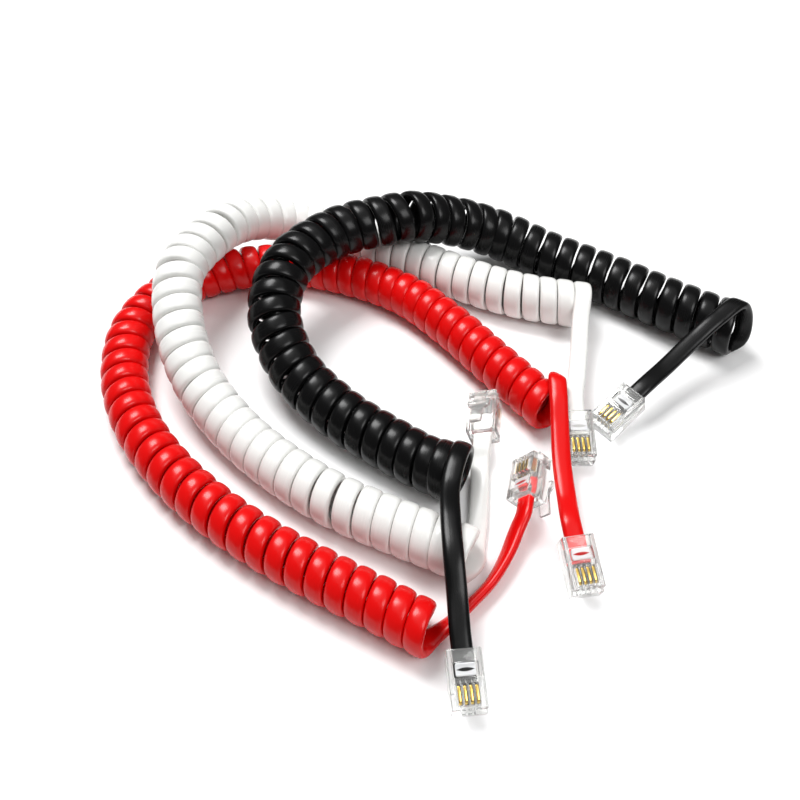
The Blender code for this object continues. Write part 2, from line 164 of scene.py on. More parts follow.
def grid_faces(rings, points):
    """Quads between neighbouring rings: corners (i, j), (i, j+1), (i+1, j+1), (i+1, j)."""
    i, j = np.meshgrid(np.arange(rings - 1), np.arange(points), indexing="ij")
    after = (j + 1) % points
    quads = np.stack([i * points + j, i * points + after,
                      (i + 1) * points + after, (i + 1) * points + j], axis=-1)
    return quads.reshape(-1, 4)


def tube_mesh(name, grid, lengthwise=None):
    """A closed mesh from rings of points, an array (rings, points, 3), with flat ends.

    The UV map holds the share of the way round and the distance along, in metres.
    """
    rings, points = grid.shape[:2]
    quads = grid_faces(rings, points)
    first = np.arange(points)[::-1]
    last = np.arange(points) + (rings - 1) * points
    loops = np.concatenate([quads.ravel(), first, last])
    starts = np.concatenate([np.arange(0, quads.size, 4), [quads.size, quads.size + points]])
    mesh = bpy.data.meshes.new(name)
    mesh.vertices.add(rings * points)
    mesh.vertices.foreach_set("co", grid.reshape(-1).astype(np.float32))
    mesh.loops.add(len(loops))
    mesh.loops.foreach_set("vertex_index", loops.astype(np.int32))
    mesh.polygons.add(len(quads) + 2)
    mesh.polygons.foreach_set("loop_start", starts.astype(np.int32))
    mesh.update(calc_edges=True)
    if lengthwise is None:
        steps = np.linalg.norm(np.diff(grid.mean(axis=1), axis=0), axis=1)
        lengthwise = np.concatenate([[0.0], np.cumsum(steps)])
    corner = quads % points
    before, after = np.roll(corner, 1, axis=1), np.roll(corner, -1, axis=1)
    closes = (corner == 0) & ((before == points - 1) | (after == points - 1))
    uv = np.zeros((len(loops), 2), dtype=np.float32)
    uv[:quads.size, 0] = np.where(closes, 1.0, corner / points).ravel()
    uv[:quads.size, 1] = lengthwise[quads // points].ravel()
    uv[quads.size:, 1] = lengthwise[loops[quads.size:] // points]
    layer = mesh.uv_layers.new(name="lengthwise")
    layer.data.foreach_set("uv", uv.ravel())
    mesh.validate()
    return mesh


def joined(name, meshes):
    """Several meshes as one; the parts are removed."""
    whole = bmesh.new()
    for mesh in meshes:
        whole.from_mesh(mesh)
        bpy.data.meshes.remove(mesh)
    result = bpy.data.meshes.new(name)
    whole.to_mesh(result)
    whole.free()
    return result


def add_piece(mesh, material, sharp_angle=40.0):
    """A mesh as an object at the origin, smooth but for edges sharper than the angle."""
    piece = bpy.data.objects.new(mesh.name, mesh)
    bpy.context.collection.objects.link(piece)
    mesh.materials.clear()
    mesh.materials.append(material)
    mesh.shade_smooth()
    mesh.set_sharp_from_angle(angle=math.radians(sharp_angle))
    return piece


def unit(vectors):
    """Vectors divided by their lengths."""
    return vectors / np.linalg.norm(vectors, axis=-1, keepdims=True)


def smooth_line(points, spacing, start=None, end=None, level=True):
    """Points an even distance apart on one smooth curve through the given ones.

    Between two points p and q, with t from 0 to 1, the curve is
    (2t^3 - 3t^2 + 1) p + (t^3 - 2t^2 + t) u + (3t^2 - 2t^3) q + (t^3 - t^2) v, where u and v
    are the slopes at p and q, from the neighbouring chords, times the distance.  With level
    set, the height never swings past the given heights.
    """
    points = np.array(points, dtype=float)
    knots = np.concatenate([[0.0], np.cumsum(np.linalg.norm(np.diff(points, axis=0), axis=1))])
    slopes = np.gradient(points, knots, axis=0)
    if level:
        steps = np.diff(points[:, 2])
        flat = np.concatenate([[True], steps[:-1] * steps[1:] <= 0.0, [True]])
        slopes[flat, 2] = 0.0
        limit = np.abs(steps / np.diff(knots)) * STEEPEST
        limit = np.minimum(np.append(limit, limit[-1]), np.insert(limit, 0, limit[0]))
        slopes[:, 2] = np.clip(slopes[:, 2], -limit, limit)
    if start is not None:
        slopes[0] = start
    if end is not None:
        slopes[-1] = end
    fine = np.linspace(0.0, knots[-1], FINE_STEPS * len(points))
    index = np.clip(np.searchsorted(knots, fine, side="right") - 1, 0, len(points) - 2)
    span = (knots[index + 1] - knots[index])[:, None]
    t = (fine - knots[index])[:, None] / span
    curve = ((2 * t**3 - 3 * t**2 + 1) * points[index] + (t**3 - 2 * t**2 + t) * span * slopes[index]
             + (3 * t**2 - 2 * t**3) * points[index + 1] + (t**3 - t**2) * span * slopes[index + 1])
    return even_points(curve, spacing)


def arc_length(line):
    """Distance along a line of points, from its start."""
    return np.concatenate([[0.0], np.cumsum(np.linalg.norm(np.diff(line, axis=0), axis=1))])


def even_points(curve, spacing):
    """The same line with its points an even distance apart."""
    run = arc_length(curve)
    stops = np.linspace(0.0, run[-1], max(2, round(run[-1] / spacing) + 1))
    return np.column_stack([np.interp(stops, run, curve[:, axis]) for axis in range(3)])


def fade(x):
    """0 below 0, 1 above 1 and a smooth step between."""
    x = np.clip(x, 0.0, 1.0)
    return x * x * (3.0 - 2.0 * x)


print("helpers ready")

# %% [markdown]
# ## Finishes
# The jackets are soft PVC pushed through a die, so their gloss has very faint lines along the
# cord and a slight unevenness.  The plugs are moulded clear polycarbonate, the blades are
# plated with gold.  A flat colour would look like paint, so one node group adds the small
# changes of colour and gloss, and each material sets its own values.

# %% Node groups
def new_group(name, inputs, outputs):
    """A shader node group with named sockets, given as (name, type, value)."""
    group = bpy.data.node_groups.new(name, "ShaderNodeTree")
    for socket, kind, value in inputs:
        made = group.interface.new_socket(name=socket, in_out="INPUT", socket_type=kind)
        made.default_value = value
    for socket, kind in outputs:
        group.interface.new_socket(name=socket, in_out="OUTPUT", socket_type=kind)
    return group, group.nodes.new("NodeGroupInput"), group.nodes.new("NodeGroupOutput")


def math_node(tree, operation, first, second=None, third=None):
    """One Math node; plain numbers go on its sockets, sockets are linked."""
    node = tree.nodes.new("ShaderNodeMath")
    node.operation = operation
    for index, value in enumerate((first, second, third)):
        if value is None:
            continue
        if isinstance(value, (int, float)):
            node.inputs[index].default_value = value
        else:
            tree.links.new(value, node.inputs[index])
    return node.outputs[0]


def mix_colour(tree, factor, first, second):
    """A colour Mix node; each argument is a socket or a plain value."""
    node = tree.nodes.new("ShaderNodeMix")
    node.data_type = "RGBA"
    sockets = {0: factor, 6: first, 7: second}     # the Mix node's numbers for colours
    for number, value in sockets.items():
        if isinstance(value, bpy.types.NodeSocket):
            tree.links.new(value, node.inputs[number])
        else:
            node.inputs[number].default_value = value
    return node.outputs[2]


def noise_node(tree, vector, scale, detail=2.0, roughness=0.5):
    """A noise pattern on the given coordinates."""
    node = tree.nodes.new("ShaderNodeTexNoise")
    tree.links.new(vector, node.inputs["Vector"])
    node.inputs["Scale"].default_value = scale
    node.inputs["Detail"].default_value = detail
    node.inputs["Roughness"].default_value = roughness
    return node.outputs["Fac"]


def stretched(tree, vector, scale):
    """Coordinates multiplied by three numbers."""
    node = tree.nodes.new("ShaderNodeMapping")
    node.vector_type = "POINT"
    tree.links.new(vector, node.inputs["Vector"])
    node.inputs["Scale"].default_value = scale
    return node.outputs["Vector"]


def make_jacket_group():
    """Extruded PVC: cloudy colour, die lines along the cord, uneven gloss and fine dimples."""
    group, given, out = new_group(
        "extruded_jacket",
        [("Colour", "NodeSocketColor", (0.5, 0.5, 0.5, 1.0)),
         ("Cloud Colour", "NodeSocketColor", (0.4, 0.4, 0.4, 1.0)),
         ("Cloudiness", "NodeSocketFloat", 0.4), ("Gloss Roughness", "NodeSocketFloat", 0.2),
         ("Unevenness", "NodeSocketFloat", 0.08)],
        [("Colour", "NodeSocketColor"), ("Roughness", "NodeSocketFloat"),
         ("Height", "NodeSocketFloat")])
    where = group.nodes.new("ShaderNodeTexCoord")
    lines = noise_node(group, stretched(group, where.outputs["UV"], (60.0, 14.0, 1.0)), 1.0, 3.0)
    clouds = noise_node(group, where.outputs["Object"], 160.0, 3.0, 0.6)
    dimples = noise_node(group, where.outputs["Object"], 1400.0, 2.0, 0.5)
    amount = math_node(group, "MULTIPLY", clouds, given.outputs["Cloudiness"])
    colour = mix_colour(group, amount, given.outputs["Colour"], given.outputs["Cloud Colour"])
    swing = math_node(group, "SUBTRACT", math_node(group, "ADD", lines, clouds), 1.0)
    rough = math_node(group, "MULTIPLY_ADD", swing, given.outputs["Unevenness"],
                      given.outputs["Gloss Roughness"])
    height = math_node(group, "MULTIPLY_ADD", lines, 0.6, math_node(group, "MULTIPLY", dimples, 0.4))
    group.links.new(colour, out.inputs["Colour"])
    group.links.new(rough, out.inputs["Roughness"])
    group.links.new(height, out.inputs["Height"])
    return group


def make_moulding_group():
    """Moulded or plated: soft flow marks in the gloss and a slight tint in patches."""
    group, given, out = new_group(
        "moulded_finish",
        [("Colour", "NodeSocketColor", (0.9, 0.9, 0.9, 1.0)),
         ("Patch Colour", "NodeSocketColor", (0.8, 0.8, 0.8, 1.0)),
         ("Patchiness", "NodeSocketFloat", 0.4), ("Gloss Roughness", "NodeSocketFloat", 0.05),
         ("Unevenness", "NodeSocketFloat", 0.05), ("Grain Scale", "NodeSocketFloat", 500.0)],
        [("Colour", "NodeSocketColor"), ("Roughness", "NodeSocketFloat"),
         ("Height", "NodeSocketFloat")])
    where = group.nodes.new("ShaderNodeTexCoord")
    patches = noise_node(group, where.outputs["Object"], 300.0, 3.0, 0.6)
    grain = group.nodes.new("ShaderNodeTexNoise")
    group.links.new(where.outputs["Object"], grain.inputs["Vector"])
    group.links.new(given.outputs["Grain Scale"], grain.inputs["Scale"])
    amount = math_node(group, "MULTIPLY", patches, given.outputs["Patchiness"])
    colour = mix_colour(group, amount, given.outputs["Colour"], given.outputs["Patch Colour"])
    rough = math_node(group, "MULTIPLY_ADD", grain.outputs["Fac"], given.outputs["Unevenness"],
                      given.outputs["Gloss Roughness"])
    group.links.new(colour, out.inputs["Colour"])
    group.links.new(rough, out.inputs["Roughness"])
    group.links.new(grain.outputs["Fac"], out.inputs["Height"])
    return group


jacket_group = make_jacket_group()
moulding_group = make_moulding_group()
print("groups:", [group.name for group in bpy.data.node_groups])

# %% [markdown]
# Each material is one Principled shader.  The group feeds what varies over the surface; what
# is the same everywhere, such as the index of refraction, sits on the shader's own sockets.
#
# The bar that grips the cord is milky.  In a real plug it is thin where it bites, and there
# the jacket shows through as a dark lens.  Rays could be left to find that by themselves, but
# a lens in the colour is sure to be seen, however small the plug is in the view.

# %% Materials
BUMP_DEPTH = 0.05 * MM


def make_material(name, group, values, bump=0.0, metallic=0.0, transmission=0.0, ior=1.5,
                  gloss=0.5):
    """A Principled material fed by one of the groups, with the group's values set by name."""
    material = bpy.data.materials.new(name)
    material.use_nodes = True
    tree = material.node_tree
    shader = tree.nodes["Principled BSDF"]
    shader.inputs["Metallic"].default_value = metallic
    shader.inputs["Transmission Weight"].default_value = transmission
    shader.inputs["IOR"].default_value = ior
    shader.inputs["Specular IOR Level"].default_value = gloss
    node = tree.nodes.new("ShaderNodeGroup")
    node.node_tree = group
    for socket, value in values.items():
        node.inputs[socket].default_value = value
    tree.links.new(node.outputs["Colour"], shader.inputs["Base Color"])
    tree.links.new(node.outputs["Roughness"], shader.inputs["Roughness"])
    if bump:
        bumps = tree.nodes.new("ShaderNodeBump")
        bumps.inputs["Strength"].default_value = bump
        bumps.inputs["Distance"].default_value = BUMP_DEPTH
        tree.links.new(node.outputs["Height"], bumps.inputs["Height"])
        tree.links.new(bumps.outputs["Normal"], shader.inputs["Normal"])
    return material


def let_light_through(material, tint):
    """Shadows of clear plastic stay pale: for shadow rays the shader is a tinted clear one."""
    tree = material.node_tree
    shader = tree.nodes["Principled BSDF"]
    clear = tree.nodes.new("ShaderNodeBsdfTransparent")
    clear.inputs["Color"].default_value = (*tint, 1.0)
    path = tree.nodes.new("ShaderNodeLightPath")
    mix = tree.nodes.new("ShaderNodeMixShader")
    tree.links.new(path.outputs["Is Shadow Ray"], mix.inputs[0])
    tree.links.new(shader.outputs["BSDF"], mix.inputs[1])
    tree.links.new(clear.outputs["BSDF"], mix.inputs[2])
    tree.links.new(mix.outputs["Shader"], tree.nodes["Material Output"].inputs["Surface"])


JACKETS = {                    # colour, cloud colour, cloudiness, roughness and gloss
    "red": ((0.70, 0.003, 0.003, 1.0), (0.56, 0.002, 0.002, 1.0), 0.5, 0.24, 0.28),
    "white": ((0.80, 0.80, 0.78, 1.0), (0.75, 0.75, 0.72, 1.0), 0.4, 0.26, 0.4),
    "black": ((0.002, 0.002, 0.0021, 1.0), (0.005, 0.005, 0.0053, 1.0), 0.6, 0.26, 0.22),
}
jackets = {
    colour: make_material(
        f"{colour}_pvc", jacket_group,
        {"Colour": base, "Cloud Colour": cloud, "Cloudiness": clouds, "Gloss Roughness": rough},
        bump=0.25, gloss=gloss)
    for colour, (base, cloud, clouds, rough, gloss) in JACKETS.items()}
clear_plastic = make_material(
    "clear_polycarbonate", moulding_group,
    {"Colour": (0.88, 0.885, 0.87, 1.0), "Patch Colour": (0.84, 0.845, 0.83, 1.0)},
    transmission=0.94, ior=1.45)
let_light_through(clear_plastic, (0.90, 0.90, 0.91))
BAR_WIDTH = 4.3 * MM
BAR_TOP = 9.5 / 12             # the middle of the top, as a share of the way round
LENS_HALF_HEIGHT = 0.04        # as a share of the way round
LENS_SHARPNESS = 80.0
LENS_DARKNESS = 0.75           # the jacket's colour seen through a little plastic


def darker(colour, share):
    """The colour times the share, still opaque."""
    return (*(share * value for value in colour[:3]), 1.0)


def milky_plastic(colour):
    """The bar's plastic: milky, with the jacket's colour in a lens where the bar is thin.

    With a = share of the half width and b = share of the way round from the middle of the
    top, the lens is where |b| < half height x (1 - a^2).
    """
    material = make_material(
        f"milky_polycarbonate_on_{colour}", moulding_group,
        {"Colour": (0.93, 0.94, 0.95, 1.0), "Patch Colour": (0.86, 0.87, 0.89, 1.0),
         "Gloss Roughness": 0.18}, transmission=0.35, ior=1.45)
    tree = material.node_tree
    base = tree.nodes["Principled BSDF"].inputs["Base Color"]
    parts = tree.nodes.new("ShaderNodeSeparateXYZ")
    tree.links.new(tree.nodes.new("ShaderNodeTexCoord").outputs["UV"], parts.inputs["Vector"])
    a = math_node(tree, "MULTIPLY_ADD", parts.outputs["Y"], 2 / BAR_WIDTH, -1.0)
    b = math_node(tree, "ABSOLUTE", math_node(tree, "SUBTRACT", parts.outputs["X"], BAR_TOP))
    edge = math_node(tree, "MULTIPLY_ADD", math_node(tree, "MULTIPLY", a, a),
                     -LENS_HALF_HEIGHT, LENS_HALF_HEIGHT)
    inside = math_node(tree, "MULTIPLY", math_node(tree, "SUBTRACT", edge, b), LENS_SHARPNESS)
    inside.node.use_clamp = True
    dark = darker(JACKETS[colour][0], LENS_DARKNESS)
    tree.links.new(mix_colour(tree, inside, base.links[0].from_socket, dark), base)
    return material


milky_plastics = {colour: milky_plastic(colour) for colour in JACKETS}
gold = make_material(
    "gold_plate", moulding_group,
    {"Colour": (0.90, 0.66, 0.20, 1.0), "Patch Colour": (0.70, 0.46, 0.12, 1.0),
     "Patchiness": 0.7, "Gloss Roughness": 0.16, "Unevenness": 0.15}, metallic=1.0)
WIRE_COLOURS = {
    "black_wire": (0.03, 0.03, 0.03, 1.0), "red_wire": (0.62, 0.06, 0.06, 1.0),
    "green_wire": (0.04, 0.33, 0.16, 1.0), "yellow_wire": (0.80, 0.62, 0.06, 1.0)}
wire_finishes = [
    make_material(name, moulding_group,
                  {"Colour": colour, "Patch Colour": darker(colour, 0.7), "Gloss Roughness": 0.35})
    for name, colour in WIRE_COLOURS.items()]
table_finish = make_material(
    "matt_white_table", moulding_group,
    {"Colour": (0.93, 0.93, 0.93, 1.0), "Patch Colour": (0.92, 0.92, 0.92, 1.0),
     "Gloss Roughness": 0.6, "Grain Scale": 40.0})
table.data.materials.append(table_finish)
print("materials:", len(bpy.data.materials))

# %% [markdown]
# ## Where the plugs lie
# A modular plug is a clear block with a spring latch under it.  Four of the six rest on
# their latch and on the edge of the nose, so the block tips forward; one leans on its side
# and one lies with its latch up.  The places could be read off the solids' boxes, but a box
# hides the turn.  So x, y and the turn are worked out as in the solid model.  The height comes
# from the latch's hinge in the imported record, and how far the two hinges are still apart, to
# the side, is printed as a check.

# %% Plug places
PLUG_HEIGHT = 6.6 * MM
PLUG_LENGTH = 13.3 * MM
NOSE_LEDGE = 1.0 * MM
CLEARANCE = 0.3 * MM
LATCH_THICKNESS = 0.9 * MM
LATCH_ANGLE = math.radians(13.0)
LATCH_OVERHANG = 0.6 * MM
CORD_WIDTH = 4.8 * MM
CORD_THICKNESS = 2.5 * MM
CORD_HEIGHT_IN_PLUG = 0.1 * MM
JACKET_DEPTH = 6.2 * MM
JACKET_RINGS = 9
LATCH_HINGE = Vector((0.0, PLUG_LENGTH - NOSE_LEDGE,
                      -PLUG_HEIGHT / 2 - CLEARANCE - LATCH_THICKNESS / 2))
LATCH_LENGTH = LATCH_HINGE.y + LATCH_OVERHANG
PLUG_PLACES = {                # x and y in mm, heading and roll in degrees
    "red_front": (24.0, -29.8, 12.0, -50.0), "red_back": (34.1, -41.3, 171.0, 0.0),
    "white_front": (14.8, -8.6, 7.0, 160.0), "white_back": (39.1, -3.8, 179.0, 0.0),
    "black_front": (6.5, -68.9, 174.5, 0.0), "black_back": (55.6, 2.6, -130.0, 0.0)}


def plug_turn(name):
    """The turn of a plug: roll about its length, tip onto the latch, then heading."""
    heading, roll = PLUG_PLACES[name][2:]
    drop = LATCH_LENGTH * math.sin(LATCH_ANGLE) + LATCH_THICKNESS + CLEARANCE
    reach = NOSE_LEDGE + LATCH_LENGTH * math.cos(LATCH_ANGLE)
    tip = math.atan2(drop, reach) if roll == 0.0 else 0.0
    return (Matrix.Rotation(math.radians(-heading), 4, "Z") @ Matrix.Rotation(-tip, 4, "X")
            @ Matrix.Rotation(math.radians(roll), 4, "Y"))


def plug_matrix(name):
    """The turn, with the height at which the latch's hinge is where the record says."""
    x, y = PLUG_PLACES[name][:2]
    turn = plug_turn(name)
    joint = next(j for j in frame["record"]["behaviour"]["joints"]
                 if j["name"] == f"{name}_latch_press")
    height = joint["pos_m"][2] - (turn @ LATCH_HINGE).z
    matrix = Matrix.Translation((x * MM, y * MM, height)) @ turn
    miss = (matrix @ LATCH_HINGE - Vector(joint["pos_m"])).length
    print(f"{name} plug, hinge {miss / MM:.3f} mm to the side of the record's")
    return matrix


plug_places = {name: plug_matrix(name) for name in PLUG_PLACES}

# %% [markdown]
# ## The coiled cords
# The real cord is a flat lead, wound hot around a rod so that it keeps its curl.  Its middle
# line could be drawn by hand, but a helix about a curved axis is a formula: at each place
# along the axis, go out by the radius in the direction of an angle that grows with the
# distance.  At each end the line leaves the helix and runs as a straight lead to its plug.
#
# First the axes of the three coils, and how closely the turns sit along them.

# %% Coil routes
# For each coil, all lengths in mm:
#   axis          x, y and the share of the climb over the coil below
#   diameters     across the coil, at the front and at the back end
#   climb         the lower coil's diameter and a gap; crown: how square the cord's outline is
#   pitch         distance along the axis, and from turn to turn there
#   start_turn    the angle from the top at which the coil starts; turns: how many
#   leave         degrees of the first and last turn that are given to the leads
#   reach         parts of the axis at its ends that are not wound
#   front_end, back_end   how much looser (a share), how far it leans and how far it swings
COILS = {
    "red": {
        "axis": [(2, -65.1, 0), (-10.8, -57.8, 0), (-22.8, -51.3, 0), (-35.8, -43.8, 0),
                 (-50.8, -33.3, 0), (-64.8, -20.3, 0), (-75.8, -5.3, 0), (-82.3, 11.7, 0),
                 (-82.8, 29.7, 0), (-74.3, 45.2, 0), (-57.8, 54.2, 0), (-39.8, 56.2, 0),
                 (-21.8, 51.7, 0), (-5.3, 43.2, 0), (7.7, 30.2, 0), (19.2, 15.7, 0),
                 (33.7, -2.3, 0)],
        "diameters": (12.8, 12.8), "climb": 0.0, "crown": 2.5,
        "pitch": [(0, 4.85), (50, 5.6), (100, 5.6), (150, 5.4), (216, 4.85), (283, 5.1)],
        "start_turn": math.pi, "turns": 54.5, "leave": (40.0, 190.0), "reach": (2.7, 0.0),
        "front_end": (0.0, 0.0, 0.0), "back_end": (0.0, 0.0, 0.0)},
    "white": {
        "axis": [(14, -47.5, 0), (2.2, -41.8, 0), (-7.8, -37.3, 0), (-23.8, -29.3, 0),
                 (-38.3, -18.8, 0), (-51.0, -6.8, 0.08), (-60.5, 5.1, 0.35), (-67.2, 22.4, 0.78),
                 (-68.3, 38.7, 1), (-61.3, 55.2, 0.96), (-51.3, 69.2, 0.55), (-38.0, 74.2, 0.12),
                 (-22.3, 68.7, 0), (-6.3, 60.2, 0), (9.2, 51.2, 0), (25.7, 43.4, 0),
                 (48.7, 37.7, 0)],
        "diameters": (13.6, 13.6), "climb": 12.8 + 0.8, "crown": 3.4,
        "pitch": [(0, 4.85), (30, 5.0), (40, 6.0), (50, 5.1), (105, 5.15), (165, 5.8),
                  (190, 5.4), (250, 5.2), (280, 5.0)],
        "start_turn": math.pi - 0.35, "turns": 51.55, "leave": (30.0, 30.0), "reach": (4.4, 2.7),
        "front_end": (0.0, 0.0, 0.8), "back_end": (0.0, 0.0, 0.0)},
    "black": {
        "axis": [(9.0, -23.3, 0), (-0.6, -18.9, 0), (-9.2, -13.3, 0), (-23.7, -2.6, 0.06),
                 (-35.2, 9.0, 0.3), (-41.2, 24.6, 0.76), (-37.3, 40.2, 1), (-24.8, 53.2, 1),
                 (-7.8, 59.5, 1), (6.7, 64.4, 0.68), (22.5, 65.4, 0.26), (38.6, 58.0, 0.04),
                 (54.2, 49.2, 0), (69.8, 38.6, 0), (91.6, 25.2, 0)],
        "diameters": (14.4, 15.6), "climb": 13.6 + 0.8, "crown": 2.8,
        "pitch": [(0, 4.9), (15, 4.9), (30, 5.6), (80, 5.5), (105, 5.7), (150, 6.0),
                  (175, 5.9), (215, 5.6), (235, 5.8), (252, 6.3)],
        "start_turn": 0.0, "turns": 44.0, "leave": (30.0, 190.0), "reach": (0.4, 1.7),
        "front_end": (0.11, 1.6, 0.0), "back_end": (0.03, 0.0, 0.0)},
}
# The leads run from the last turn to the plug.  Each has its points in mm, the shares of its
# length between which the flat side turns from the coil's direction to the plug's, and how
# much it stands on edge half-way.
LEADS = {
    "red_front": ([(4.1, -60.3, 1.4), (9.4, -55.2, 1.8), (14.4, -49.8, 2.4), (18.3, -43.5, 3.2),
                   (21.3, -36.9, 4.6)], (0.0, 0.7), 1.2),
    "red_back": ([(34.4, 1.2, 3.6), (35.2, 5.0, 8.5), (34.6, 4.6, 12.8), (34.3, -0.6, 12.9),
                  (34.0, -9.3, 10.5), (33.6, -19.3, 8.4), (33.7, -29.3, 7.6)], (0.1, 0.45), 0.0),
    "white_front": ([(11.3, -40.8, 1.3), (12.5, -32.3, 1.3), (13.4, -22.3, 1.7),
                     (14, -14.3, 2.8)], (0.1, 0.85), 0.0),
    "white_back": ([(44.6, 29.7, 9.6), (43.2, 20.7, 8.0), (41.2, 9.7, 7.6)], (0.1, 0.8), 0.0),
    "black_front": ([(5.2, -30.3, 14.2), (4.8, -40.3, 15.3), (5.1, -49.3, 14.8),
                     (5.8, -58.3, 10.9)], (0.1, 0.85), 0.0),
    "black_back": ([(90.2, 26.8, 4.4), (90.6, 28.8, 10.6), (87.4, 28.7, 16.6), (80.7, 24.0, 15.6),
                    (74.0, 18.9, 12.8), (65.2, 11.2, 9.9)], (0.2, 0.9), 0.0)}
AXIS_STEP = 0.05 * MM
TURN_POINTS = 28
LEAD_STEP = 0.8 * MM
LOOSE_TURNS = 1.5              # of each end that may be looser, lean and swing
LATE_LEAVE = 90.0              # degrees: a lead given less of the turn also ends the turn
REST_SHARE = 0.8               # of the half width: how far a tilted cord's rounded edge reaches
print("turns:", {colour: coil["turns"] for colour, coil in COILS.items()})

# %% [markdown]
# The helix is worked out on the axis with three directions at each point: along the axis,
# up, and sideways.  The sum of distance over pitch gives the number of turns, and a small
# correction of all the pitches makes the coil start and end at the right height.  A screw
# modifier could wind a cord about a straight rod, but real coils lie in bends, where the turns
# open on the outside, and here that follows from the formula.

# %% Helix
def coil_axis(coil):
    """The axis's points, close together, and the coil's radius at each."""
    front, back = (d / 2 * MM for d in coil["diameters"])
    climb = coil["climb"] * MM
    count = len(coil["axis"])
    line = [(x * MM, y * MM, front + (back - front) * i / (count - 1) + share * climb)
            for i, (x, y, share) in enumerate(coil["axis"])]
    axis = smooth_line(line, AXIS_STEP)
    run = arc_length(axis)
    return axis, run, front + (back - front) * run / run[-1]


def helix(coil):
    """The middle line of the wound cord, the coil's direction at each point, and the turn.

    Point = axis + radius * (cos(turn) * up + sin(turn) * side), with side = along x up, which
    winds a right-handed coil.  The radius is to the middle of the cord's thickness.  Over the
    last turn and a half at each end the coil may be looser, lean over and swing round.
    """
    axis, run, outer = coil_axis(coil)
    first, last = coil["reach"][0] * MM, run[-1] - coil["reach"][1] * MM
    pitch_at = np.interp(run / MM, *np.array(coil["pitch"], dtype=float).T) * MM
    turns = np.concatenate([[0.0], np.cumsum(np.diff(run) / pitch_at[1:])])
    turns -= np.interp(first, run, turns)
    total = np.interp(last, run, turns)
    angle = coil["start_turn"] + 2 * math.pi * turns * coil["turns"] / total
    keep = (run >= first) & (run <= last)
    axis, run, outer, angle = axis[keep], run[keep], outer[keep], angle[keep]
    along = unit(np.gradient(axis, axis=0))
    up = unit(np.array([0.0, 0.0, 1.0]) - along * along[:, 2:3])
    side = np.cross(along, up)
    near_front = fade(LOOSE_TURNS - (angle - angle[0]) / (2 * math.pi))
    near_back = fade(LOOSE_TURNS - (angle[-1] - angle) / (2 * math.pi))
    looser, lean, swing = (near_front[:, None] * coil["front_end"]
                           + near_back[:, None] * coil["back_end"]).T
    lean = (lean * (1 + np.cos(angle)) / 2 - swing * np.sin(angle)) * MM
    axis = axis + (outer * looser)[:, None] * up + lean[:, None] * along
    radius = outer * (1 + looser) - CORD_THICKNESS / 2
    out = np.cos(angle)[:, None] * up + np.sin(angle)[:, None] * side
    print(f"   {coil['turns']} turns on an axis of {(run[-1] - run[0]) / MM:.0f} mm")
    return axis + radius[:, None] * out, along, angle


def thin_out(angle, leave):
    """Indices of points an even angle apart, without the parts that become leads."""
    low = angle[0] + math.radians(leave[0])
    high = angle[-1] - math.radians(leave[1])
    count = round((high - low) / (2 * math.pi) * TURN_POINTS)
    return np.searchsorted(angle, np.linspace(low, high, count + 1))


# %% [markdown]
# A lead is one smooth curve from the helix, over the top or under the bottom of the last
# turn, along the table and straight into the plug.  The cord's flat side turns slowly from
# lying along the coil to lying across the plug.  It could be a piece of its own, butted against
# the coil, but the joint would show: the real jacket is one length from plug to plug.

# %% Leads
def lead_line(name, start_point, start_slope, turn_end):
    """The lead's middle line, from the helix to inside the plug.

    It starts where the cord leaves the helix and, unless turn_end is None, goes through the
    helix's own end.
    """
    matrix = plug_places[name]
    entry = matrix @ Vector((0.0, 0.0, CORD_HEIGHT_IN_PLUG))
    inward = (matrix.to_3x3() @ Vector((0.0, 1.0, 0.0))).normalized()
    route = [tuple(MM * value for value in point) for point in LEADS[name][0]]
    route.append(tuple(entry - inward * CORD_THICKNESS))
    passed = [start_point] if turn_end is None else [start_point, turn_end]
    outer = smooth_line([*map(tuple, passed), *route], LEAD_STEP, start_slope, np.array(inward),
                        level=False)
    inner = np.linspace(np.array(entry), np.array(entry + inward * JACKET_DEPTH), JACKET_RINGS)
    return np.vstack([outer, inner]), np.array(matrix.to_3x3().col[0].normalized())


def lead_widths(line, coil_along, plug_across, turning, on_edge):
    """Directions of the cord's width: along the coil at first, then across the plug."""
    if np.dot(coil_along, plug_across) < 0:
        plug_across = -plug_across
    run = arc_length(line)
    share = fade((run / run[-1] - turning[0]) / (turning[1] - turning[0]))[:, None]
    upright = on_edge * 4 * share * (1 - share) * (0.0, 0.0, np.sign(plug_across[2] + 1e-9))
    return unit(coil_along * (1 - share) + plug_across * share + upright)


def cord_outline(crown, points=22):
    """The flat cord's outline: |x/a|^n + |y/b|^n = 1, rounder for a small n."""
    t = np.linspace(0, 2 * math.pi, points, endpoint=False)
    x = CORD_WIDTH / 2 * np.sign(np.cos(t)) * np.abs(np.cos(t)) ** (2 / crown)
    y = CORD_THICKNESS / 2 * np.sign(np.sin(t)) * np.abs(np.sin(t)) ** (2 / crown)
    return x, y


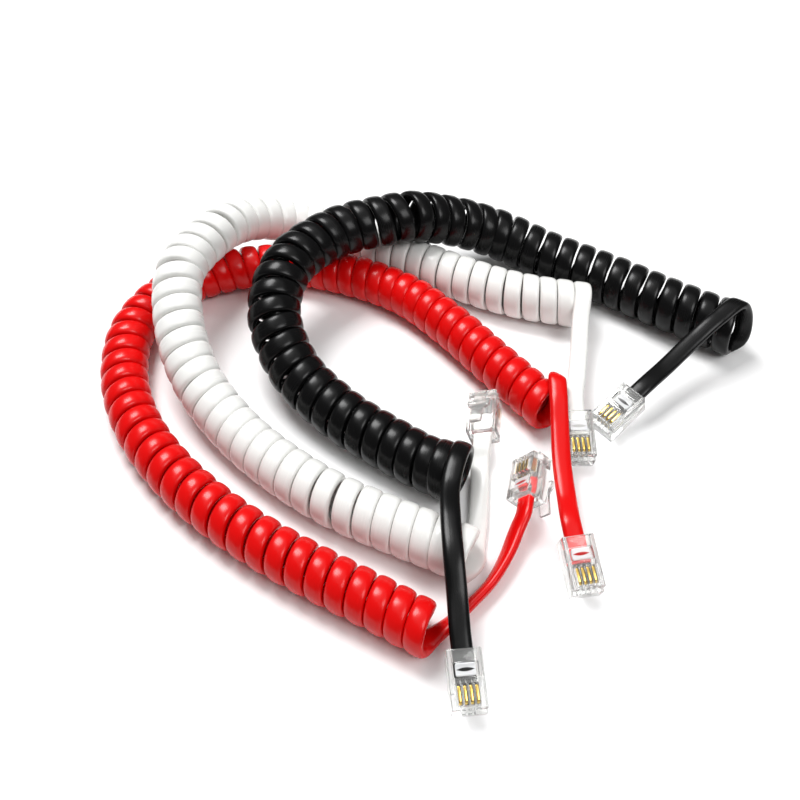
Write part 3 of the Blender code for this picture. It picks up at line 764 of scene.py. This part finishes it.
def build_cord(colour):
    """The whole cord from plug to plug: lead, helix, lead, with the outline carried along."""
    coil = COILS[colour]
    wound, along, angle = helix(coil)
    pick = thin_out(angle, coil["leave"])
    slope = unit(np.gradient(wound, axis=0))
    front, front_across = lead_line(f"{colour}_front", wound[pick[0]], -slope[pick[0]], wound[0])
    back_end = wound[-1] if coil["leave"][1] < LATE_LEAVE else None
    back, back_across = lead_line(f"{colour}_back", wound[pick[-1]], slope[pick[-1]], back_end)
    wide_front = lead_widths(front, along[pick[0]], front_across, *LEADS[f"{colour}_front"][1:])
    wide_back = lead_widths(back, along[pick[-1]], back_across, *LEADS[f"{colour}_back"][1:])
    centres = np.vstack([front[:0:-1], wound[pick], back[1:]])
    widths = np.vstack([wide_front[:0:-1], along[pick], wide_back[1:]])
    travel = unit(np.gradient(centres, axis=0))
    thick = unit(np.cross(widths, travel))
    wide = np.cross(travel, thick)
    lowest = (CORD_THICKNESS / 2 * np.abs(thick[:, 2])
              + CORD_WIDTH / 2 * REST_SHARE * np.abs(wide[:, 2]))
    centres[:, 2] = np.maximum(centres[:, 2], lowest)
    x, y = cord_outline(coil["crown"])
    grid = (centres[:, None] + x[None, :, None] * wide[:, None] + y[None, :, None] * thick[:, None])
    piece = add_piece(tube_mesh(f"{colour}_curly_cord", grid, arc_length(centres)), jackets[colour])
    length = arc_length(centres)[-1]
    print(f"{colour} cord: {length:.3f} m, {len(centres)} rings")
    return piece, centres, length


cords = {}
for colour in COILS:
    piece, centres, length = build_cord(colour)
    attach(piece, f"{colour}_cord")
    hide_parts(f"{colour}_coil", f"{colour}_front_lead", f"{colour}_back_lead")
    cords[colour] = (piece, centres, length)

# %% [markdown]
# ## The plugs
# The housing is one moulding: a block with a stepped nose, a pocket for the cord behind, a
# window above for the strain relief bar, and four slots for the blades.  It could be put
# together from boxes, but then light would not bend through it as through one block.  So
# a rounded rectangle is carried from the nose back to the rear and on into the pocket, all one
# surface, and the window and slots are cut out of it.

# %% Housing
WINDOW = {"start": 2.7 * MM, "length": 3.1 * MM, "width": 5.6 * MM}
CONTACT_PITCH = 1.27 * MM
CONTACT_PLACES = (np.arange(4) - 1.5) * CONTACT_PITCH
CONDUCTOR_DIAMETER = 0.98 * MM
SLOT_WIDTH = 0.85 * MM
BLADE_THICKNESS = 0.62 * MM


def rounded_rectangles(half_width, low, high, radius, place, corner_points=4):
    """Rings of rounded rectangles in x and z, one for each set of values, at y = place.

    A point is the corner's centre plus the radius in the direction of its angle.
    """
    half_width, low, high, radius, place = (
        np.asarray(v, dtype=float)[:, None] for v in (half_width, low, high, radius, place))
    step = np.linspace(0.0, math.pi / 2, corner_points)
    angle = np.concatenate([step, step + math.pi / 2, step + math.pi, step + 1.5 * math.pi])
    right = np.sign(np.cos(angle[corner_points // 2::corner_points])).repeat(corner_points)
    above = np.sign(np.sin(angle[corner_points // 2::corner_points])).repeat(corner_points)
    x = right * (half_width - radius) + radius * np.cos(angle)
    middle, half = (high + low) / 2, (high - low) / 2
    z = middle + above * (half - radius) + radius * np.sin(angle)
    return np.stack([x, np.broadcast_to(place, x.shape), z], axis=-1)


def housing_rings():
    """Values of each ring in mm: half width, low, high, corner radius, place along."""
    return np.array([
        (3.60, -3.05, 0.95, 0.20, 13.30), (3.75, -3.22, 1.12, 0.30, 13.23),
        (3.82, -3.30, 1.20, 0.35, 13.05), (3.82, -3.30, 1.20, 0.35, 12.45),
        (3.82, -3.30, 1.28, 0.35, 12.34), (3.82, -3.30, 3.02, 0.35, 12.30),
        (3.82, -3.30, 3.22, 0.35, 12.22), (3.82, -3.30, 3.30, 0.35, 12.05),
        (3.82, -3.30, 3.30, 0.35, 6.00), (3.82, -3.30, 3.30, 0.35, 0.25),
        (3.75, -3.22, 3.22, 0.30, 0.07), (3.60, -3.08, 3.08, 0.25, 0.00),
        (3.05, -1.80, 2.00, 0.30, 0.00), (2.80, -1.52, 1.72, 0.30, 0.12),
        (2.70, -1.45, 1.65, 0.30, 0.50), (2.70, -1.45, 1.65, 0.30, 6.95),
        (2.68, -0.80, 1.00, 0.30, 7.05), (2.66, -0.70, 0.90, 0.30, 11.50),
        (2.50, -0.55, 0.75, 0.20, 11.60)]).T * MM


def straight_block(name, low, high, radius):
    """A block with four rounded upright edges, as a cutter: a rounded rectangle moved up."""
    middle = (np.array(low) + np.array(high)) / 2
    width, depth, height = (np.array(high) - np.array(low)) / 2
    both = np.ones(2)
    ring = rounded_rectangles(width * both, -depth * both, depth * both, radius * both,
                              np.array([-height, height]))
    grid = np.stack([ring[..., 0], ring[..., 2], ring[..., 1]], axis=-1)[:, ::-1] + middle
    return tube_mesh(name, grid)


def cut_all(mesh, cutters):
    """The mesh less each cutter, by exact Boolean differences."""
    body = bpy.data.objects.new("housing", mesh)
    bpy.context.collection.objects.link(body)
    tools = []
    for cutter in cutters:
        tool = bpy.data.objects.new(cutter.name, cutter)
        bpy.context.collection.objects.link(tool)
        cut = body.modifiers.new(cutter.name, "BOOLEAN")
        cut.operation, cut.solver, cut.object = "DIFFERENCE", "EXACT", tool
        tools.append(tool)
    bpy.context.view_layer.update()
    done = body.evaluated_get(bpy.context.evaluated_depsgraph_get())
    result = bpy.data.meshes.new_from_object(done)
    for helper in [body, *tools]:
        bpy.data.objects.remove(helper)
    return result


def facing_out(mesh):
    """Merge doubles and turn all faces outward."""
    work = bmesh.new()
    work.from_mesh(mesh)
    bmesh.ops.remove_doubles(work, verts=work.verts, dist=1e-7)
    bmesh.ops.recalc_face_normals(work, faces=work.faces)
    work.to_mesh(mesh)
    work.free()
    return mesh


def housing_mesh():
    """The moulded housing with its window, blade slots and the grooves in the nose ledge."""
    shell = facing_out(tube_mesh("housing", rounded_rectangles(*housing_rings())))
    start, width = WINDOW["start"], WINDOW["width"]
    top = PLUG_HEIGHT / 2 + 1.0 * MM
    cutters = [straight_block("window", (-width / 2, start, 0.1 * MM),
                              (width / 2, start + WINDOW["length"], top), 0.25 * MM)]
    half = SLOT_WIDTH / 2
    for x in CONTACT_PLACES:
        cutters.append(straight_block("slot", (x - half, 7.1 * MM, 0.5 * MM),
                                      (x + half, 11.55 * MM, top), 0.2 * MM))
        cutters.append(straight_block("groove", (x - 0.2 * MM, 11.9 * MM, 0.75 * MM),
                                      (x + 0.2 * MM, 13.8 * MM, top), 0.05 * MM))
    for cutter in cutters:
        facing_out(cutter)
    return facing_out(cut_all(shell, cutters))


housing_master = housing_mesh()
print("housing:", len(housing_master.polygons), "faces")

# %% [markdown]
# The latch is a springy tongue that starts under the nose and slopes away from the block.
# Two wide shoulders half-way catch in the jack.  It could be boxes pushed together, but then its
# corners would be sharp and its parts would meet in seams.  So it is a rounded rectangle again,
# carried from the hinge to the finger end, with its width and thickness changing on the way.

# %% Latch
def latch_mesh():
    """Values of each ring in mm: half width, half thickness, sag and distance from the hinge."""
    rings = np.array([
        (1.35, 0.28, 0.28, -0.35), (1.58, 0.42, 0.20, -0.20), (1.60, 0.45, 0.05, 0.4),
        (1.60, 0.42, 0.00, 1.6), (1.60, 0.40, 0.00, 4.00), (2.40, 0.40, 0.00, 4.12),
        (3.00, 0.52, -0.08, 4.20), (3.00, 0.55, -0.08, 5.80), (2.60, 0.45, 0.00, 6.50),
        (1.70, 0.40, 0.00, 7.40), (1.60, 0.40, 0.00, 8.00), (1.60, 0.40, 0.00, 11.60),
        (1.60, 0.42, 0.02, 12.50), (1.52, 0.36, 0.06, 12.78), (1.38, 0.22, 0.10, 12.90)]).T
    half_width, half_thick, sag, place = rings * MM
    grid = rounded_rectangles(half_width, sag - half_thick, sag + half_thick,
                              np.full(len(place), 0.18 * MM), -place)
    turned = np.array(Matrix.Rotation(LATCH_ANGLE, 3, "X"))
    return facing_out(tube_mesh("latch", grid @ turned.T + np.array(LATCH_HINGE)))


latch_master = latch_mesh()
print("latch:", len(latch_master.polygons), "faces")

# %% [markdown]
# Inside lie the bar that grips the jacket, four coloured wires and four gold blades.  The
# bar is a bevelled wedge, pressed down until it bites.  Each wire is a round tube, and each
# blade a thin plate with a rounded crown.  Plain boxes and cylinders would do from far away, but
# edges that catch the light need bevels, and carrying an outline gives them in the same step.

# %% Bar, wires and blades
def bar_mesh():
    """A wedge carried across the window: narrow where it bites the jacket, wide above."""
    half = BAR_WIDTH / 2
    across = np.array([-half, -half + 0.15 * MM, -half + 0.5 * MM, 0.0,
                       half - 0.5 * MM, half - 0.15 * MM, half])
    shrink = np.array([0.82, 0.97, 1.0, 1.0, 1.0, 0.97, 0.82])
    outline = np.array([(-1.35, 2.65), (-1.35, 1.9), (-0.9, 1.45), (-0.5, 1.33), (0.5, 1.33),
                        (0.9, 1.45), (1.35, 1.9), (1.35, 2.65), (1.1, 2.78), (0.5, 2.6),
                        (-0.5, 2.6), (-1.1, 2.78)]) * MM
    centre = outline.mean(axis=0)
    middle = WINDOW["start"] + WINDOW["length"] / 2
    flat = centre + (outline - centre)[None] * shrink[:, None, None]
    x = np.broadcast_to(across[:, None], flat.shape[:2])
    return facing_out(tube_mesh("bar", np.stack([x, middle + flat[..., 0], flat[..., 1]], axis=-1)))


def wires_mesh():
    """Four tubes side by side: a circle carried forward, with rounded ends."""
    start, end, bevel = 6.1 * MM, 11.3 * MM, 0.1 * MM
    steps = bevel * np.array([0.0, 0.4, 1.0])
    place = np.concatenate([start + steps, end - steps[::-1]])
    size = CONDUCTOR_DIAMETER / 2 * np.array([0.8, 0.95, 1, 1, 0.95, 0.8])
    t = np.linspace(0, 2 * math.pi, 16, endpoint=False)
    wires = []
    for index, x in enumerate(CONTACT_PLACES):
        across = x + size[:, None] * np.cos(t)
        forward = np.broadcast_to(place[:, None], across.shape)
        upward = CORD_HEIGHT_IN_PLUG + size[:, None] * np.sin(t)
        wire = facing_out(tube_mesh("wire", np.stack([across, forward, upward], axis=-1)))
        finish_index = np.full(len(wire.polygons), index, dtype=np.int32)
        wire.polygons.foreach_set("material_index", finish_index)
        wires.append(wire)
    return joined("wires", wires)


def blades_mesh():
    """Four plates: an outline with a rounded crown, bevelled at its faces."""
    t = np.radians([0, 22, 45, 68, 90])
    front, top, bottom, back = 11.25 * MM, 2.9 * MM, 0.75 * MM, 7.4 * MM
    bend, heel_bend, bevel = 0.8 * MM, 0.3 * MM, 0.08 * MM
    crown = np.column_stack([front - bend + bend * np.sin(t), top - bend + bend * np.cos(t)])
    heel = np.column_stack([back + heel_bend - heel_bend * np.sin(t),
                            top - heel_bend + heel_bend * np.cos(t)])
    outline = np.vstack([(back, bottom), (front, bottom), crown[::-1], heel])
    centre = outline.mean(axis=0)
    half = BLADE_THICKNESS / 2
    layer = np.array([-half, -half + bevel, half - bevel, half])
    shrink = np.array([0.95, 1.0, 1.0, 0.95])
    flat = centre + (outline - centre)[None] * shrink[:, None, None]
    blades = []
    for x in CONTACT_PLACES:
        across = np.broadcast_to((x + layer)[:, None], flat.shape[:2])
        grid = np.stack([across, flat[..., 0], flat[..., 1]], axis=-1)
        blades.append(facing_out(tube_mesh("blade", grid)))
    return joined("blades", blades)


MASTERS = {"plug_housing": housing_master, "latch_tongue": latch_master, "grip_bar": bar_mesh(),
           "wires": wires_mesh(), "gold_blades": blades_mesh()}
print("pieces in a plug:", {name: len(mesh.polygons) for name, mesh in MASTERS.items()})

# %% [markdown]
# Six plugs are six copies of the same mouldings, as they would come from one tool.  Linked
# copies could share one mesh and be turned into place, but then the objects would be turned
# too.  Here each copy's points are moved instead, so that every object sits at the origin, and
# each piece stands for its solid in the model.

# %% Six plugs
SOLIDS = {"plug_housing": ["plug_body"], "latch_tongue": ["latch"], "grip_bar": ["strain_bar"],
          "wires": ["conductors"], "gold_blades": [f"contact_{n}" for n in range(1, 5)]}


def add_plug(name):
    """Copies of the five mouldings at one plug's place, riding on the cord or the latch."""
    made = []
    colour = name.split("_")[0]
    for kind, master in MASTERS.items():
        mesh = master.copy()
        mesh.name = f"{name}_{kind}"
        mesh.transform(plug_places[name])
        finish = {"gold_blades": gold, "wires": wire_finishes[0],
                  "grip_bar": milky_plastics[colour]}.get(kind, clear_plastic)
        piece = add_piece(mesh, finish, 35.0)
        if kind == "wires":
            for extra in wire_finishes[1:]:
                mesh.materials.append(extra)
        body = f"{name}_latch" if kind == "latch_tongue" else f"{colour}_cord"
        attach(piece, body)
        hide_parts(*[f"{name}_{solid}" for solid in SOLIDS[kind]])
        made.append(piece)
    return made


plugs = {name: add_plug(name) for name in PLUG_PLACES}
for mesh in MASTERS.values():
    bpy.data.meshes.remove(mesh)
print("plugs:", len(plugs), "with", sum(len(made) for made in plugs.values()), "pieces")

# %% [markdown]
# ## The cords' facts
# A cord is no stiff body: it can be pulled out and laid anew.  The links could be modelled, but
# a hundred small joints would be stiff and slow.  So no joints are made, and only each cord's
# length is printed.

for colour, (piece, centres, length) in cords.items():
    print(colour, "cord", round(float(length), 2), "m")
